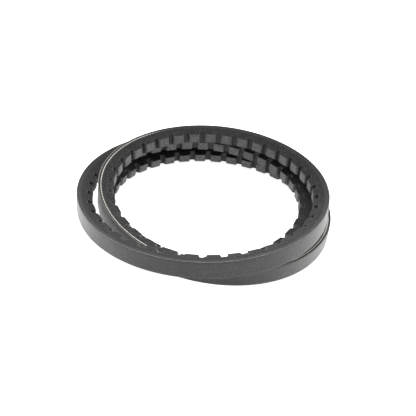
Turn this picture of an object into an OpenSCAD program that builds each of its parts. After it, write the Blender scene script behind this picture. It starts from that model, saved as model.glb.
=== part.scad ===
// Raw-edge cogged V belt, closed into one loop and coiled up in three turns.
//
// The belt's back face follows one closed curve, the spine, that goes round three times.
// Every layer of the belt is a strip between two depths below the back face, swept along
// the spine, so neighbouring layers meet face to face. Units are millimetres, +Z is up,
// and the origin is at the centre of the coil's footprint, on the surface it lies on.

/* [Belt section] */
// Width of the belt across its back face
top_w = 10; // [9.5:0.1:10.5]
// Height of the belt from back face to cog tips
belt_h = 8; // [7.6:0.1:8.4]
// Angle between the two driving flanks
v_angle = 36; // [34:1:38]

/* [Layers] */
// Thickness of the cover fabric on the back face
cover_t = 0.4; // [0.3:0.05:0.5]
// Thickness of the rubber under the cover fabric
top_rubber_t = 0.4; // [0.3:0.05:0.5]
// Thickness of the adhesion gum above the cords
upper_gum_t = 0.2; // [0.1:0.05:0.3]
// Thickness of the tensile cords
cord_t = 1; // [0.8:0.05:1.1]
// Thickness of the adhesion gum below the cords
lower_gum_t = 0.4; // [0.2:0.05:0.5]
// Thickness of the fabric moulded over the cogs
facing_t = 0.3; // [0.2:0.05:0.35]

/* [Cogs] */
// Number of cogs round the belt
cog_count = 109; // [105:1:113]
// Depth of the valleys between the cogs
cog_depth = 2.7; // [2.4:0.1:3]
// Share of the pitch that a cog's flat tip takes up
tip_share = 0.62; // [0.5:0.01:0.66]
// Share of the pitch that a valley's flat floor takes up
floor_share = 0.27; // [0.2:0.01:0.3]

/* [Cords] */
// Circuits that each of the two cords makes round the belt
cord_circuits = 3; // [2:1:3]
// Width of one cord across the belt
cord_w = 1.05; // [0.8:0.05:1.05]
// Distance across the belt from one cord's middle to the next one's
cord_pitch = 1.33; // [1.25:0.01:1.33]
// Where round the belt the cords' cut ends lie, as a share of its length
cord_start = 0.19; // [0:0.01:0.99]

/* [Hidden] */

// Route of the back face's middle line, one row every 45 degrees, anticlockwise from the
// front: [distance from the coil's axis, height, inward lean of the top edge in degrees].
knot_step = 45;
knots = [
    // first turn: on top at the front, right and back, then down inside at the left
    [70, 19.5, -9], [66, 21.5, 2], [63, 22.5, 4], [60, 23.5, 0],
    [61, 23, -3], [57, 22, -5], [56, 20, 3], [56, 14.5, 1],
    // second turn: outermost and low at the front and right, then low and inside
    [60.5, 10.5, -10], [64, 7, -11], [66, 6, 1], [72, 5, 10],
    [73, 5.5, 10], [67.5, 4.5, 11], [55, 6, 5], [49, 6.5, -7],
    // third turn: low and inside at the front and right, then climbing to the outside
    [50, 4, -4], [52.5, 7.5, -1], [57.5, 11, 0], [63, 12.5, -1],
    [69, 16, 11], [68, 14.5, 12], [66, 15.5, 3], [68, 16.5, -7]
];
turns = len(knots) * knot_step;

// Depths below the back face where one layer ends and the next begins
cover_d = cover_t;
top_rubber_d = cover_d + top_rubber_t;
upper_gum_d = top_rubber_d + upper_gum_t;
cord_d = upper_gum_d + cord_t;
lower_gum_d = cord_d + lower_gum_t;
valley_d = belt_h - cog_depth;

// Each cord moves over by two cords' places in each circuit
cord_shift = 2 * cord_pitch;
// Where round the belt the first cog's tip sits, as a share of the pitch
first_cog = 0.64;

function unit(v) = v / norm(v);
function half_w(depth) = top_w / 2 - depth * tan(v_angle / 2);

// Uniform cubic B-spline through the knots' column, at a path angle in degrees
function knot(i, column) = knots[((i % len(knots)) + len(knots)) % len(knots)][column];
function spline(angle, column) =
    let (x = angle / knot_step, i = floor(x), t = x - i)
    (pow(1 - t, 3) * knot(i - 1, column)
        + (3 * pow(t, 3) - 6 * pow(t, 2) + 4) * knot(i, column)
        + (3 * t - 3 * pow(t, 3) + 3 * pow(t, 2) + 1) * knot(i + 1, column)
        + pow(t, 3) * knot(i + 2, column)) / 6;

function spine(angle) =
    let (r = spline(angle, 0))
    [r * sin(angle), -r * cos(angle), spline(angle, 1)];

// The belt's own directions at a path angle: [place, out of the back face, across the back]
function station(angle) =
    let (
        forward = unit(spine(angle + 0.5) - spine(angle - 0.5)),
        flat_out = unit(cross(forward, [0, 0, 1])),
        up = cross(flat_out, forward),
        lean = spline(angle, 2)
    )
    [spine(angle), flat_out * cos(lean) + up * sin(lean), up * cos(lean) - flat_out * sin(lean)];

// A point of the section: a depth below the back face, and a distance across the belt
function place(s, depth, across) = s[0] - s[1] * depth + s[2] * across;

// Length run along the cord line at each degree of path angle, as [length, angle] rows
function cord_line(angle) = place(station(angle), (upper_gum_d + cord_d) / 2, 0);
run_points = [for (a = [0:1:turns]) cord_line(a)];
run = [
    for (i = 0, s = 0; i <= turns; i = i + 1,
        s = s + (i <= turns ? norm(run_points[i] - run_points[i - 1]) : 0)) [s, i]
];
pitch = run[turns][0] / cog_count;

// The back layers bend only at the two edges of each cog's tip, two stations to a cog
rubber_tip = tip_share / 2 - 0.025;
function station_at(pitches) =
    let (p = pitches < 0 ? pitches + cog_count : pitches % cog_count)
    station(lookup(p * pitch, run));
stations = [
    for (cog = [0:cog_count - 1], side = [-1, 1]) station_at(cog + first_cog + side * rubber_tip)
];

// A station between two others, so that its points lie on the straight edges between them
function between(cog, share) =
    let (
        i = 2 * cog + (share < rubber_tip ? 0 : 1),
        a = stations[i % len(stations)],
        b = stations[(i + 1) % len(stations)],
        t = share < rubber_tip ? (share + rubber_tip) / (2 * rubber_tip)
            : (share - rubber_tip) / (1 - 2 * rubber_tip)
    )
    a * (1 - t) + b * t;

// The coil is set down with its lowest edge at zero and its footprint centred
corners = [
    for (s = stations, d = [0, belt_h], side = [-1, 1]) place(s, d, side * half_w(d))
];
low = [for (i = [0:2]) min([for (c = corners) c[i]])];
high = [for (i = [0:2]) max([for (c = corners) c[i]])];
set_down = [-(low[0] + high[0]) / 2, -(low[1] + high[1]) / 2, -low[2]];

// A closed band through rings of four points each. The first and last point of a ring lie
// on its outer face, and both faces are split along the same diagonal, so bands that share
// a face match triangle by triangle.
module band(rings, closed = true) {
    n = len(rings);
    faces = [
        for (k = [0:closed ? n - 1 : n - 2], j = [0:3])
            let (a = 4 * k + j, b = 4 * k + (j + 1) % 4,
                c = 4 * ((k + 1) % n) + (j + 1) % 4, d = 4 * ((k + 1) % n) + j)
            each j == 3 ? [[a, b, d], [b, c, d]] : [[a, b, c], [a, c, d]]
    ];
    ends = closed ? [] : [[2, 1, 0], [3, 2, 0], [4 * n - 4, 4 * n - 3, 4 * n - 2],
        [4 * n - 4, 4 * n - 2, 4 * n - 1]];
    translate(set_down)
        polyhedron([for (r = rings) each r], concat(faces, ends), convexity = 10);
}

// A layer of even thickness, from one depth to another
module layer(from, to) {
    band([
        for (s = stations) [
            place(s, from, half_w(from)), place(s, to, half_w(to)),
            place(s, to, -half_w(to)), place(s, from, -half_w(from))
        ]
    ]);
}

// The two sides of a cord, cut off where they meet a flank, but never right through
sliver = 0.1;
function upper_side(depth, across) = max(sliver - half_w(depth), min(half_w(depth), across));
function lower_side(depth, across) = max(-half_w(depth), min(half_w(depth) - sliver, across));

// One cord, wound round and round while it creeps from the upper flank towards the lower
module cord(lane) {
    n = len(stations);
    first = floor(cord_start * n);
    start = (cord_circuits + 0.6 - lane) * cord_pitch;
    band([
        for (k = [0:cord_circuits * n])
            let (
                s = stations[(first + k) % n],
                low_x = start - cord_shift * k / n - cord_w / 2,
                high_x = low_x + cord_w
            ) [
                place(s, upper_gum_d, upper_side(upper_gum_d, high_x)),
                place(s, cord_d, upper_side(cord_d, high_x)),
                place(s, cord_d, lower_side(cord_d, low_x)),
                place(s, upper_gum_d, lower_side(upper_gum_d, low_x))
            ]
    ], closed = false);
}

// The profile of one cog, from edge to edge of its tip and across the next valley, as
// [share of the pitch, depth] rows: the rubber's own, and the same with the fabric on it
rubber_profile = [
    [-rubber_tip, belt_h - facing_t], [rubber_tip, belt_h - facing_t],
    [0.475 - floor_share / 2, valley_d - facing_t], [0.525 + floor_share / 2, valley_d - facing_t]
];
cog_profile = [
    [-tip_share / 2, belt_h], [tip_share / 2, belt_h],
    [0.5 - floor_share / 2, valley_d], [0.5 + floor_share / 2, valley_d]
];

module cover_fabric() {
    color([0.36, 0.36, 0.35]) layer(0, cover_d);
}

module top_rubber() {
    color([0.2, 0.2, 0.2]) layer(cover_d, top_rubber_d);
}

module upper_gum() {
    color([0.14, 0.14, 0.14]) layer(top_rubber_d, upper_gum_d);
}

module s_twist_cord() {
    color([0.78, 0.76, 0.68]) cord(0);
}

module z_twist_cord() {
    color([0.72, 0.7, 0.62]) cord(1);
}

module lower_gum() {
    color([0.14, 0.14, 0.14]) layer(cord_d, lower_gum_d);
}

module cogged_rubber() {
    color([0.25, 0.25, 0.24]) band([
        for (cog = [0:cog_count - 1], point = rubber_profile)
            let (s = between(cog, point[0]), d = point[1]) [
                place(s, lower_gum_d, half_w(lower_gum_d)), place(s, d, half_w(d)),
                place(s, d, -half_w(d)), place(s, lower_gum_d, -half_w(lower_gum_d))
            ]
    ]);
}

module cog_facing() {
    color([0.42, 0.42, 0.41]) band([
        for (cog = [0:cog_count - 1], i = [0:3])
            let (
                inner = rubber_profile[i], outer = cog_profile[i],
                si = between(cog, inner[0]), so = between(cog, outer[0])
            ) [
                place(si, inner[1], half_w(inner[1])), place(so, outer[1], half_w(outer[1])),
                place(so, outer[1], -half_w(outer[1])), place(si, inner[1], -half_w(inner[1]))
            ]
    ]);
}

cover_fabric();
top_rubber();
upper_gum();
s_twist_cord();
z_twist_cord();
lower_gum();
cogged_rubber();
cog_facing();
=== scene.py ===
import math

import bpy
import numpy as np
from mathutils import Matrix, Vector


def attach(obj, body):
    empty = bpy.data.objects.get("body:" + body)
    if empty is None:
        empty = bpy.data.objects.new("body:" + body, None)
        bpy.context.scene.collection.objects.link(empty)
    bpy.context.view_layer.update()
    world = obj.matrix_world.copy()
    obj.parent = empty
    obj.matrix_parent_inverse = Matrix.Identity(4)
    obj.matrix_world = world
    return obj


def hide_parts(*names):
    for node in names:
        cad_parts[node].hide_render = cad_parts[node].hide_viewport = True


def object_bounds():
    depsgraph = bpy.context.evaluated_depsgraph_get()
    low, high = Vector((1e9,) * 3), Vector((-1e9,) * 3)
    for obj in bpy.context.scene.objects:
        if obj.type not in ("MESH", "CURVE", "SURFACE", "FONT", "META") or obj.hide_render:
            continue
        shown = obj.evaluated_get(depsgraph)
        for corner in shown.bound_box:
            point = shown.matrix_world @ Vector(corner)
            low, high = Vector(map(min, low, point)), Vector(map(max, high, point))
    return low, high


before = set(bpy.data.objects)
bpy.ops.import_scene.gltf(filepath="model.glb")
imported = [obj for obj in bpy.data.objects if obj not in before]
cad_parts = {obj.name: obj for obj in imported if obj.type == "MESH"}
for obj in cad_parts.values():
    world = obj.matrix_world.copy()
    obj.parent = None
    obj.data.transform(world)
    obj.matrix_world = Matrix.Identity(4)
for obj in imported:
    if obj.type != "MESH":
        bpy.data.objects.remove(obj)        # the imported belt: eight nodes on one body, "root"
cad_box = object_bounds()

MM = 0.001

# ---------------------------------------------------------------------------
# The belt's section, in metres: depths are measured in from the back face
# ---------------------------------------------------------------------------
TOP_W = 10 * MM
BELT_H = 8 * MM
FLANK_SLOPE = math.tan(math.radians(18))
COVER_D = 0.4 * MM
TOP_RUBBER_D = 0.8 * MM
CORD_TOP_D = 1.0 * MM
CORD_BOTTOM_D = 2.0 * MM
CORD_MID_D = (CORD_TOP_D + CORD_BOTTOM_D) / 2
LOWER_GUM_D = 2.4 * MM
VALLEY_D = 5.3 * MM
FACING_T = 0.3 * MM

COG_COUNT = 109
FIRST_COG = 0.64         # where the first cog's tip sits, as a share of the pitch
TIP_SHARE = 0.62
FLOOR_SHARE = 0.27

CORD_CIRCUITS = 3
CORD_PITCH = 1.33 * MM
CORD_START = 0.19        # where the cords' cut ends lie, as a share of the belt's length
FIRST_LANE = CORD_CIRCUITS + 0.6   # the first cord's start, in pitches above the middle
CORD_R = (CORD_BOTTOM_D - CORD_TOP_D) / 2
PLIES = 3
TWIST = 6.3 * MM         # length in which a ply goes once round its cord
PLY_GROOVE = 0.16        # depth of the grooves between plies, as a share of the cord's radius
PROUD = 0.05 * MM        # how far a cut cord stands out of the flank

# How far the softer layers are ground back from the flank
RUBBER_INSET = 0.03 * MM
GUM_INSET = 0.06 * MM

# ---------------------------------------------------------------------------
# The route of the back face's middle line: a row every 45 degrees of path angle,
# [distance from the coil's axis (mm), height (mm), inward lean of the top edge (degrees)]
# ---------------------------------------------------------------------------
KNOT_STEP = 45
KNOTS = np.array([
    [70, 19.5, -9], [66, 21.5, 2], [63, 22.5, 4], [60, 23.5, 0],
    [61, 23, -3], [57, 22, -5], [56, 20, 3], [56, 14.5, 1],
    [60.5, 10.5, -10], [64, 7, -11], [66, 6, 1], [72, 5, 10],
    [73, 5.5, 10], [67.5, 4.5, 11], [55, 6, 5], [49, 6.5, -7],
    [50, 4, -4], [52.5, 7.5, -1], [57.5, 11, 0], [63, 12.5, -1],
    [69, 16, 11], [68, 14.5, 12], [66, 15.5, 3], [68, 16.5, -7],
])
TURN_ANGLE = len(KNOTS) * KNOT_STEP


def spline(angle, column):
    """Uniform cubic B-spline through one column of the knots, at path angles in degrees."""
    x = np.asarray(angle, float) / KNOT_STEP
    i = np.floor(x).astype(int)
    t = x - i
    k = [KNOTS[(i + j) % len(KNOTS), column] for j in (-1, 0, 1, 2)]
    return ((1 - t) ** 3 * k[0] + (3 * t**3 - 6 * t**2 + 4) * k[1]
            + (3 * t + 3 * t**2 - 3 * t**3 + 1) * k[2] + t**3 * k[3]) / 6


def spine(angle):
    """The back face's middle line, in metres, about the coil's own axis."""
    radius, height = spline(angle, 0) * MM, spline(angle, 1) * MM
    turned = np.radians(angle)
    return np.stack([radius * np.sin(turned), -radius * np.cos(turned), height], -1)


def unit(v):
    return v / np.linalg.norm(v, axis=-1, keepdims=True)


def station(angle):
    """The belt's own frame at path angles: place, out of the back face, across the back."""
    forward = unit(spine(angle + 0.5) - spine(angle - 0.5))
    flat_out = unit(np.cross(forward, [0.0, 0.0, 1.0]))
    up = np.cross(flat_out, forward)
    lean = np.radians(spline(angle, 2))[..., None]
    out = flat_out * np.cos(lean) + up * np.sin(lean)
    across = up * np.cos(lean) - flat_out * np.sin(lean)
    return spine(angle), out, across


def measure_run():
    """Path angles, and the length run along the cord line up to each of them."""
    angles = np.linspace(0, TURN_ANGLE, 10 * TURN_ANGLE + 1)
    place, out, _ = station(angles)
    steps = np.linalg.norm(np.diff(place - out * CORD_MID_D, axis=0), axis=1)
    return angles, np.concatenate([[0.0], np.cumsum(steps)])


PATH_ANGLES, PATH_RUNS = measure_run()
BELT_LENGTH = PATH_RUNS[-1]
PITCH = BELT_LENGTH / COG_COUNT

# The belt bends less at its thick cogs than at its valleys, which gives it a slight wave
RIPPLE = 0.012 * MM


def half_w(depth):
    return TOP_W / 2 - depth * FLANK_SLOPE


def raw_point(run, depth, across):
    """Points of the belt from length run, depth and distance across, before it is set down."""
    angle = np.interp(np.mod(run, BELT_LENGTH), PATH_RUNS, PATH_ANGLES)
    place, out, sideways = station(angle)
    sunk = depth + RIPPLE * np.cos(2 * math.pi * (run / PITCH - FIRST_COG))
    return place - out * sunk[..., None] + sideways * across[..., None]


def set_down():
    """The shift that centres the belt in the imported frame's box, its lowest edge on the floor."""
    samples = 3000
    run = np.linspace(0, BELT_LENGTH, samples)[:, None] + np.zeros((1, 4))
    depth = np.array([[0.0, 0.0, BELT_H, BELT_H]]) + np.zeros_like(run)
    across = half_w(depth) * np.array([[1.0, -1.0, 1.0, -1.0]])
    points = raw_point(run, depth, across).reshape(-1, 3)
    low, high = points.min(0), points.max(0)
    cad_low, cad_high = (np.array(corner) for corner in cad_box)
    shift = (cad_low + cad_high) / 2 - (low + high) / 2
    shift[2] = cad_low[2] - low[2]
    return shift


SET_DOWN = set_down()


def belt_point(run, depth, across):
    return raw_point(run, depth, across) + SET_DOWN


# ---------------------------------------------------------------------------
# Mesh making
# ---------------------------------------------------------------------------
def sweep(name, run, depth, across, closed=True, sharp=35):
    """A band through rings of points, given as arrays of (rings, points round the section)."""
    points = belt_point(run, depth, across)
    rings, n = run.shape
    mesh = bpy.data.meshes.new(name)
    ring = np.arange(rings if closed else rings - 1)[:, None]
    j = np.arange(n)[None, :]
    nxt = (ring + 1) % rings
    quads = np.stack([ring * n + j, ring * n + (j + 1) % n,
                      nxt * n + (j + 1) % n, nxt * n + j], -1).reshape(-1, 4)
    faces = quads.tolist()
    if not closed:
        faces.append(list(range(n))[::-1])
        faces.append([(rings - 1) * n + k for k in range(n)])
    mesh.from_pydata(points.reshape(-1, 3).tolist(), [], faces)

    # belt coordinates for the materials: length run, distance across and depth
    coords = np.stack([run, across, depth], -1).reshape(-1, 3)
    corners = np.empty(len(mesh.loops), int)
    mesh.loops.foreach_get("vertex_index", corners)
    values = coords[corners]
    if closed:
        # the last ring's faces end at the first ring, one whole length further on
        last = np.zeros(len(corners), bool)
        last[(rings - 1) * n * 4:] = True
        values[last & (values[:, 0] < BELT_LENGTH / 2), 0] += BELT_LENGTH
    layer = mesh.attributes.new("belt", "FLOAT_VECTOR", "CORNER")
    layer.data.foreach_set("vector", values.ravel())

    mesh.validate()
    mesh.shade_smooth()
    mesh.set_sharp_from_angle(angle=math.radians(sharp))
    piece = bpy.data.objects.new(name, mesh)
    bpy.context.scene.collection.objects.link(piece)
    return piece


def make_outward(piece):
    """Turns the faces over if the band was wound inside out."""
    mesh = piece.data
    mesh.calc_loop_triangles()
    tri = np.empty(len(mesh.loop_triangles) * 3, int)
    mesh.loop_triangles.foreach_get("vertices", tri)
    co = np.empty(len(mesh.vertices) * 3)
    mesh.vertices.foreach_get("co", co)
    a, b, c = co.reshape(-1, 3)[tri.reshape(-1, 3)].transpose(1, 0, 2)
    if np.einsum("ij,ij->i", a, np.cross(b, c)).sum() < 0:
        mesh.flip_normals()


def finish_piece(piece, node, material):
    make_outward(piece)
    piece.data.materials.append(material)
    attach(piece, "root")
    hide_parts(node)
    return piece


def section_band(name, outline):
    """A layer whose section is the same all along: outline holds (depth, across) points."""
    rings_per_cog = 12
    rings = COG_COUNT * rings_per_cog
    run = np.repeat(np.arange(rings)[:, None] * BELT_LENGTH / rings, len(outline), 1)
    depth = np.tile([p[0] for p in outline], (rings, 1))
    across = np.tile([p[1] for p in outline], (rings, 1))
    return sweep(name, run, depth, across)


def both_sides(half):
    """Closes an outline from its half on the upper flank, back face first."""
    return half + [(d, -x) for d, x in reversed(half)]


def layer_outline(top, bottom, inset):
    """A plain layer between two depths, its flanks set back by inset."""
    half = [(top, half_w(top) - inset), (bottom, half_w(bottom) - inset)]
    return both_sides(half)


# ---------------------------------------------------------------------------
# Materials
# ---------------------------------------------------------------------------
class Nodes:
    """A short way to write the node tree of a new material or world."""

    def __init__(self, owner):
        self.owner = owner
        owner.use_nodes = True
        self.tree = owner.node_tree

    def add(self, kind, settings=None, *inputs, **named):
        """A node with its settings, then its inputs by place or by name."""
        node = self.tree.nodes.new(kind)
        for key, value in (settings or {}).items():
            setattr(node, key, value)
        for key, value in [*enumerate(inputs), *named.items()]:
            self.put(node.inputs[key], value)
        return node

    def put(self, socket, value):
        if isinstance(value, bpy.types.NodeSocket):
            self.tree.links.new(value, socket)
        else:
            socket.default_value = value

    def math(self, operation, a, b=0.0, c=0.0):
        return self.add("ShaderNodeMath", {"operation": operation}, a, b, c).outputs[0]

    def ramp(self, value, low, high):
        """Smoothly from nought at low to one at high, which may be the smaller of the two."""
        smooth = {"interpolation_type": "SMOOTHSTEP"}
        return self.add("ShaderNodeMapRange", smooth, value, low, high).outputs[0]

    def mix(self, factor, a, b):
        node = self.add("ShaderNodeMix", {"data_type": "RGBA"}, Factor=factor)
        self.put(node.inputs[6], a)
        self.put(node.inputs[7], b)
        return node.outputs[2]

    def belt(self):
        """Belt coordinates: a vector of (length run, distance across, depth), in metres."""
        return self.add("ShaderNodeAttribute", {"attribute_name": "belt"}).outputs["Vector"]

    def position(self):
        return self.add("ShaderNodeNewGeometry").outputs["Position"]

    def split(self, vector):
        return self.add("ShaderNodeSeparateXYZ", None, vector).outputs

    def cut_side(self, across, depth):
        """One on the cut flank of a layer, nought elsewhere."""
        reach = self.math("ADD", self.math("ABSOLUTE", across),
                          self.math("MULTIPLY", depth, FLANK_SLOPE))
        return self.ramp(reach, TOP_W / 2 - 0.06 * MM, TOP_W / 2 - 0.01 * MM)

    def scaled(self, vector, x, y, z):
        multiply = {"operation": "MULTIPLY"}
        return self.add("ShaderNodeVectorMath", multiply, vector, (x, y, z)).outputs[0]

    def noise(self, vector, scale, detail, rough):
        node = self.add("ShaderNodeTexNoise", None, vector,
                        Scale=scale, Detail=detail, Roughness=rough)
        return node.outputs["Fac"]

    def bump(self, height, distance):
        node = self.add("ShaderNodeBump", Strength=1.0, Distance=distance, Height=height)
        return node.outputs["Normal"]

    def surface(self, color, roughness, normal=None, specular=0.5, sheen=0.0):
        inputs = self.tree.nodes["Principled BSDF"].inputs
        self.put(inputs["Base Color"], color)
        self.put(inputs["Roughness"], roughness)
        if normal is not None:
            self.put(inputs["Normal"], normal)
        inputs["Specular IOR Level"].default_value = specular
        inputs["Sheen Weight"].default_value = sheen
        inputs["Sheen Roughness"].default_value = 0.4
        return self.owner


def new_material(name):
    return Nodes(bpy.data.materials.new(name))


def grey(level, warm=0.0):
    return (level * (1 + warm), level, level * (1 - warm), 1.0)


def cover_material():
    """Rubber-coated bias weave: soft egg-crate threads, paler on top, with a warm painted highlight
    over the rounded outer edges and the cloth's cut edge.
    """
    low_thread, high_thread, dusty = grey(0.024, 0.015), grey(0.032, 0.015), grey(0.04, 0.015)
    # cut_edge is a painted highlight: warm and pale, for the light the rounded edge catches
    pit, speck, cut_edge = grey(0.018, 0.015), grey(0.054, 0.02), grey(0.15, 0.1)
    thread = 0.8 * MM
    bias_along, bias_across = 0.5, 0.87

    n = new_material("cover_fabric")
    run, across, depth = n.split(n.belt())
    threads_round = round(BELT_LENGTH / thread) / BELT_LENGTH
    a = n.math("MULTIPLY", run, threads_round * 2 * math.pi * bias_along)
    b = n.math("MULTIPLY", across, 2 * math.pi / thread * bias_across)
    warp = n.math("SINE", n.math("ADD", a, b))
    weft = n.math("SINE", n.math("SUBTRACT", a, b))
    weave = n.math("MULTIPLY", warp, weft)
    grain = n.noise(n.position(), 5200, 3, 0.6)
    cloud = n.noise(n.position(), 55, 4, 0.6)
    speckle = n.noise(n.position(), 1500, 2, 0.7)
    color = n.mix(n.ramp(weave, -0.6, 0.8), low_thread, high_thread)
    color = n.mix(n.ramp(cloud, 0.35, 0.75), color, dusty)
    color = n.mix(n.ramp(speckle, 0.6, 0.36), color, pit)
    color = n.mix(n.ramp(speckle, 0.54, 0.78), color, speck)
    # painted highlight: a warm pale band from the rounding of the outer edge down the cloth's cut
    # edge, standing in for the rim light these edges catch
    color = n.mix(n.ramp(depth, 0.04 * MM, 0.12 * MM), color, cut_edge)
    height = n.math("ADD", weave, n.math("MULTIPLY", grain, 1.6))
    rough = n.math("MULTIPLY_ADD", grain, 0.2, 0.4)
    return n.surface(color, rough, n.bump(height, 0.02 * MM), specular=0.22, sheen=0.34)


def flank_material(name, level, fleck):
    """Ground rubber: fine grinding lines along the belt and pale cut fibre ends."""
    dark, pale, ground = grey(level * 0.8), grey(level * 1.25), grey(level * 1.7)
    pit, speck, fibre_end = grey(level * 0.4), grey(level * 2.7, 0.03), grey(0.3, 0.03)

    n = new_material(name)
    lines = n.noise(n.scaled(n.belt(), 90, 5200, 5200), 1.0, 3, 0.6)
    grain = n.noise(n.position(), 4200, 3, 0.65)
    cloud = n.noise(n.position(), 90, 4, 0.6)
    speckle = n.noise(n.position(), 1400, 2, 0.7)
    dots = n.add("ShaderNodeTexVoronoi", {"feature": "F1"}, Vector=n.position(), Scale=2200)
    spot = n.ramp(dots.outputs["Distance"], 0.28, 0.12)
    keep = n.ramp(n.noise(n.position(), 1300, 2, 0.5), 0.5, 0.62)
    spot = n.math("MULTIPLY", spot, keep)
    color = n.mix(n.ramp(cloud, 0.3, 0.7), dark, pale)
    color = n.mix(n.ramp(lines, 0.45, 0.75), color, ground)
    color = n.mix(n.ramp(speckle, 0.62, 0.36), color, pit)
    color = n.mix(n.ramp(speckle, 0.54, 0.74), color, speck)
    color = n.mix(n.math("MULTIPLY", spot, fleck), color, fibre_end)
    height = n.math("ADD", lines, grain)
    rough = n.math("MULTIPLY_ADD", grain, 0.3, 0.5)
    return n.surface(color, rough, n.bump(height, 0.03 * MM), specular=0.15)


def facing_material():
    """Facing fabric over the cogs: fine threads along the belt, with painted shade darkening the
    valleys below the tips.
    """
    low_rib, high_rib, dusty = grey(0.086, 0.01), grey(0.114, 0.01), grey(0.14, 0.01)
    # the wall and valley floor colours are painted shade, much darker than the tips
    pit, shaded_wall, shaded_valley_floor, cut_edge = grey(0.05, 0.01), grey(0.01), grey(0.022), grey(0.02)
    rib_width = 0.55 * MM

    n = new_material("cog_facing")
    _, across, depth = n.split(n.belt())
    rib = n.math("SINE", n.math("MULTIPLY", across, 2 * math.pi / rib_width))
    grain = n.noise(n.position(), 4500, 3, 0.65)
    cloud = n.noise(n.position(), 160, 4, 0.6)
    speckle = n.noise(n.position(), 1300, 2, 0.7)
    color = n.mix(n.ramp(rib, -0.8, 0.9), low_rib, high_rib)
    color = n.mix(n.ramp(cloud, 0.4, 0.75), color, dusty)
    color = n.mix(n.ramp(speckle, 0.6, 0.36), color, pit)
    # painted shade: the facing darkens from the tips down into the valleys, darkest on the walls and
    # a little less dark on the valley floors
    clear_of_valley_shade = n.ramp(depth, VALLEY_D + 0.4 * MM, BELT_H - 0.35 * MM)
    floor = n.ramp(depth, VALLEY_D + 0.25 * MM, VALLEY_D + 0.05 * MM)
    color = n.mix(clear_of_valley_shade, n.mix(floor, shaded_wall, shaded_valley_floor), color)
    color = n.mix(n.cut_side(across, depth), color, cut_edge)
    height = n.math("ADD", rib, n.math("MULTIPLY", grain, 1.2))
    rough = n.math("MULTIPLY_ADD", grain, 0.25, 0.4)
    return n.surface(color, rough, n.bump(height, 0.03 * MM), specular=0.35, sheen=0.1)


def gum_material():
    n = new_material("adhesion_gum")
    grain = n.noise(n.position(), 5000, 3, 0.6)
    color = n.mix(grain, grey(0.004), grey(0.012))
    rough = n.math("MULTIPLY_ADD", grain, 0.3, 0.45)
    return n.surface(color, rough, n.bump(grain, 0.02 * MM), specular=0.4)


def cord_material():
    """Off-white polyester: filaments along the strand, and black gum in the grooves and rims."""
    dull, bright = (0.6, 0.58, 0.5, 1), (0.9, 0.88, 0.82, 1)
    stained, gummy, black_gum = grey(0.06), grey(0.1, 0.05), grey(0.03)

    n = new_material("tensile_cord")
    run, _, depth = n.split(n.belt())
    travelled = n.math("SUBTRACT", run, CORD_START * BELT_LENGTH)
    off_middle = n.math("ABSOLUTE", n.math("SUBTRACT", depth, CORD_MID_D))
    fibre = n.noise(n.scaled(n.belt(), 600, 9000, 9000), 1.0, 3, 0.6)
    stain = n.noise(n.position(), 900, 3, 0.6)
    color = n.mix(fibre, dull, bright)
    color = n.mix(n.ramp(stain, 0.56, 0.75), color, stained)

    # near its cut start the cord is barely out of the gum, which fills its grooves
    gummed = n.ramp(travelled, 150 * MM, 80 * MM)
    lay = n.math("MULTIPLY", travelled, 2 * math.pi * PLIES / TWIST)
    groove = n.ramp(n.math("COSINE", lay), 0.1, 0.8)
    groove = n.math("MULTIPLY", groove, n.math("MULTIPLY", gummed, 0.7))
    color = n.mix(groove, color, black_gum)
    color = n.mix(n.math("MULTIPLY", gummed, 0.25), color, gummy)
    color = n.mix(n.ramp(travelled, 22 * MM, 4 * MM), color, black_gum)
    color = n.mix(n.ramp(off_middle, 0.13 * MM, 0.26 * MM), color, black_gum)
    rough = n.math("MULTIPLY_ADD", fibre, 0.2, 0.55)
    return n.surface(color, rough, n.bump(fibre, 0.03 * MM), specular=0.35, sheen=0.2)


# ---------------------------------------------------------------------------
# The belt's layers
# ---------------------------------------------------------------------------
SOFT_EDGE = 0.18 * MM        # rounding of the cover's outer edges
TIP_CROWN = 0.06 * MM        # how far a cog's tip falls away from its middle to its edges
TIP_ROUND = 0.55 * MM
FLOOR_ROUND = 0.35 * MM


def cover_outline():
    """The cover's two outer edges are rounded over by handling."""
    corner = [
        (SOFT_EDGE * (1 - math.sin(t)), half_w(0) - SOFT_EDGE * (1 - math.cos(t)))
        for t in np.radians([90, 60, 30, 0])
    ]
    back = [(0.0, half_w(0) * share) for share in (0.25, 0.5, 0.75)]
    return both_sides(back + corner + [(COVER_D, half_w(COVER_D))])


def make_cover():
    piece = section_band("cover_fabric_skin", cover_outline())
    return finish_piece(piece, "cover_fabric", cover_material())


def make_plain_layers(rubber, gum):
    for name, node, slot, material, top, bottom, inset in (
        ("top_rubber_layer", "top_rubber", "top_rubber", rubber, COVER_D, TOP_RUBBER_D, RUBBER_INSET),
        ("upper_gum_layer", "upper_gum", "adhesion_gum", gum, TOP_RUBBER_D, CORD_MID_D, GUM_INSET),
        ("lower_gum_layer", "lower_gum", "adhesion_gum", gum, CORD_MID_D, LOWER_GUM_D, GUM_INSET),
    ):
        piece = section_band(name, layer_outline(top, bottom, inset))
        finish_piece(piece, node, material)


def rounded(corners, reaches, points_per_corner):
    """A line through corners, each rounded off over its own reach on both sides."""
    line = []
    for k in range(1, len(corners) - 1):
        before, here, after = (np.array(corners[k + j]) for j in (-1, 0, 1))
        start = here + (before - here) / np.linalg.norm(before - here) * reaches[k - 1]
        end = here + (after - here) / np.linalg.norm(after - here) * reaches[k - 1]
        for t in np.linspace(0, 1, points_per_corner):
            line.append((1 - t) ** 2 * start + 2 * t * (1 - t) * here + t**2 * end)
    return np.array(line)


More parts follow.
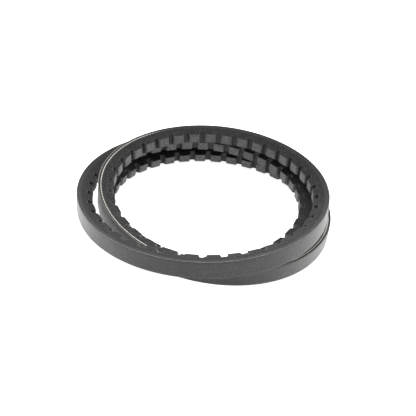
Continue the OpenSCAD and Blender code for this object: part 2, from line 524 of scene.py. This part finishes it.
def cog_profile(inset):
    """One pitch of the cogs' outline, as (run, depth) rows from the middle of a tip."""
    tip, floor = TIP_SHARE * PITCH / 2, FLOOR_SHARE * PITCH / 2
    corners = [
        (0, BELT_H), (tip, BELT_H - TIP_CROWN), (PITCH / 2 - floor, VALLEY_D),
        (PITCH / 2 + floor, VALLEY_D), (PITCH - tip, BELT_H - TIP_CROWN), (PITCH, BELT_H),
    ]
    line = rounded(corners, [TIP_ROUND, FLOOR_ROUND, FLOOR_ROUND, TIP_ROUND], 6)

    # one more point on each side of the tip's middle gives the crown its curve
    on_crown, fallen = tip * 0.4, BELT_H - TIP_CROWN * 0.2
    line = np.concatenate([[(0, BELT_H), (on_crown, fallen)], line, [(PITCH - on_crown, fallen)]])
    if inset:
        ahead, behind = np.roll(line, -1, 0), np.roll(line, 1, 0)
        ahead[-1, 0] += PITCH
        behind[0, 0] -= PITCH
        along = unit(ahead - behind)
        line = line + inset * np.stack([along[:, 1], -along[:, 0]], 1)
    return line


def cog_rings(line):
    """The profile repeated for every cog, as columns of run and depth."""
    runs = [line[:, 0] + (cog + FIRST_COG) * PITCH for cog in range(COG_COUNT)]
    return np.concatenate(runs)[:, None], np.tile(line[:, 1], COG_COUNT)[:, None]


def make_cogged_rubber(material):
    run, depth = cog_rings(cog_profile(FACING_T))
    top = np.full_like(depth, LOWER_GUM_D)
    columns = [(top, 1), (depth, 1), (depth, -1), (top, -1)]
    depths = np.concatenate([d for d, side in columns], 1)
    sides = np.array([[side for d, side in columns]])
    piece = sweep("cogged_rubber_body", np.repeat(run, 4, 1), depths, half_w(depths) * sides)
    return finish_piece(piece, "cogged_rubber", material)


def make_facing():
    run_in, depth_in = cog_rings(cog_profile(FACING_T))
    run_out, depth_out = cog_rings(cog_profile(0))
    shares = [1, 0.6, 0.2, -0.2, -0.6, -1]
    run = np.concatenate([run_in] + [run_out] * len(shares) + [run_in], 1)
    depth = np.concatenate([depth_in] + [depth_out] * len(shares) + [depth_in], 1)
    sides = np.array([[1] + shares + [-1]])
    piece = sweep("cog_facing_skin", run, depth, half_w(depth) * sides)
    return finish_piece(piece, "cog_facing", facing_material())


# ---------------------------------------------------------------------------
# The tensile cords: three plies twisted together, cut through where they meet a flank
# ---------------------------------------------------------------------------
def make_cord(name, node, lane, hand, material):
    """One cord, creeping down from the upper flank by two pitches in each circuit.

    Its plies wind right-handed where hand is 1, and left-handed where it is -1.
    """
    ring_step, points_round = 0.45 * MM, 12
    cord_length = CORD_CIRCUITS * BELT_LENGTH
    travelled = np.linspace(0, cord_length, int(cord_length / ring_step))[:, None]
    around = np.linspace(0, 2 * math.pi, points_round, endpoint=False)[None, :]
    turned = hand * 2 * math.pi * travelled / TWIST
    grooved = np.cos(PLIES * (around - turned))
    radius = CORD_R * (1 - PLY_GROOVE + PLY_GROOVE * grooved)
    middle = (FIRST_LANE - lane - 2 * travelled / BELT_LENGTH) * CORD_PITCH
    depth = CORD_MID_D - radius * np.sin(around)
    across = middle + radius * np.cos(around)
    flank = half_w(depth) + PROUD
    across = np.clip(across, -flank, flank)
    run = travelled + CORD_START * BELT_LENGTH + np.zeros_like(around)
    piece = sweep(name, run, depth, across, closed=False, sharp=50)
    return finish_piece(piece, node, material)


# painted highlight: the top rubber is set paler than the cog rubber, carrying the cover's painted
# edge highlight down the upper flank
rubber = flank_material("top_rubber", 0.026, 0.1)
make_cover()
make_plain_layers(rubber, gum_material())
make_cogged_rubber(flank_material("cog_rubber", 0.0205, 0.35))
make_facing()
cord = cord_material()
# S twist is left-handed and Z twist right-handed, so these two hands are swapped
make_cord("s_twist_cord_strand", "s_twist_cord", 0, 1, cord)
make_cord("z_twist_cord_strand", "z_twist_cord", 1, -1, cord)


# ---------------------------------------------------------------------------
# Stage, light and camera
# ---------------------------------------------------------------------------
FLOOR_SIZE = 3.0             # half of its side
FLOOR_GLOW = 0.92            # everywhere, with the two sides' extra glow on top
FLOOR_LEFT = 2.1
FLOOR_RIGHT = 0.2
SIDES_FROM, SIDES_FULL = 0.06, 0.16   # where the sides' glow begins and is full

SKY_BASE = 0.08
SKY_LEFT = 1.3
SKY_RIGHT = 8.2
SKY_FRONT = 0.05
SKY_BACK = 6.0
SKY_TOP = 3.3


def make_floor():
    """Glowing white paper."""
    mesh = bpy.data.meshes.new("floor")
    corners = [(x * FLOOR_SIZE, y * FLOOR_SIZE, 0) for x, y in ((-1, -1), (1, -1), (1, 1), (-1, 1))]
    mesh.from_pydata(corners, [], [(0, 1, 2, 3)])
    floor = bpy.data.objects.new("floor", mesh)
    floor.location.z = cad_box[0][2]
    bpy.context.scene.collection.objects.link(floor)

    n = new_material("floor_paper")
    n.surface((0.9, 0.9, 0.9, 1), 0.8, specular=0.2)
    x = n.split(n.position())[0]
    glow = n.math("MULTIPLY_ADD", n.ramp(x, -SIDES_FROM, -SIDES_FULL), FLOOR_LEFT, FLOOR_GLOW)
    glow = n.math("MULTIPLY_ADD", n.ramp(x, SIDES_FROM, SIDES_FULL), FLOOR_RIGHT, glow)
    inputs = n.tree.nodes["Principled BSDF"].inputs
    inputs["Emission Color"].default_value = (1, 1, 1, 1)
    n.put(inputs["Emission Strength"], glow)
    mesh.materials.append(n.owner)


def make_world():
    """A light tent: brightest low at the right and the back, dim at the left and in front."""
    n = Nodes(bpy.data.worlds.new("studio"))
    x, y, z = n.split(n.add("ShaderNodeTexCoord").outputs["Generated"])
    low = n.ramp(z, 0.5, 0.05)
    beside = n.math("MULTIPLY", n.ramp(y, -0.4, 0.1), low)
    level = SKY_BASE
    for share, glow in (
        (n.math("MULTIPLY", n.ramp(x, -0.5, -0.95), beside), SKY_LEFT),
        (n.math("MULTIPLY", n.ramp(x, 0.5, 0.95), beside), SKY_RIGHT),
        (n.math("MULTIPLY", n.ramp(y, 0.0, -0.9), low), SKY_FRONT),
        (n.math("MULTIPLY", n.ramp(y, 0.0, 0.9), low), SKY_BACK),
        (n.ramp(z, 0.6, 1.0), SKY_TOP),
    ):
        level = n.math("MULTIPLY_ADD", share, glow, level)

    # the camera itself sees a tent as white as the floor
    seen = n.add("ShaderNodeLightPath").outputs["Is Camera Ray"]
    inputs = n.tree.nodes["Background"].inputs
    inputs["Color"].default_value = (1, 1, 1, 1)
    n.put(inputs["Strength"], n.math("MAXIMUM", level, seen))
    bpy.context.scene.world = n.owner


CAMERA_ELEVATION = 32.37     # degrees, like the roll
CAMERA_ROLL = 4.94
CAMERA_DISTANCE = 0.4012
CAMERA_AIM = (1.588 * MM, 12.247 * MM, 0.02 * MM)
CAMERA_SENSOR = 36           # mm, like the lens
CAMERA_LENS = 62.827


def make_camera():
    camera = bpy.data.cameras.new("camera")
    camera.sensor_width = CAMERA_SENSOR
    camera.lens = CAMERA_LENS
    camera.clip_start = 0.01
    tilt, roll = math.radians(CAMERA_ELEVATION), math.radians(CAMERA_ROLL)
    back = Vector((0, -math.cos(tilt), math.sin(tilt)))
    level, rise = Vector((1, 0, 0)), Vector((0, math.sin(tilt), math.cos(tilt)))
    right = level * math.cos(roll) + rise * math.sin(roll)
    up = rise * math.cos(roll) - level * math.sin(roll)
    turn = Matrix((right, up, back)).transposed().to_4x4()
    holder = bpy.data.objects.new("camera", camera)
    holder.matrix_world = Matrix.Translation(Vector(CAMERA_AIM) + back * CAMERA_DISTANCE) @ turn
    bpy.context.scene.collection.objects.link(holder)
    bpy.context.scene.camera = holder


make_floor()
make_world()
make_camera()
bpy.context.scene.view_settings.view_transform = "Standard"
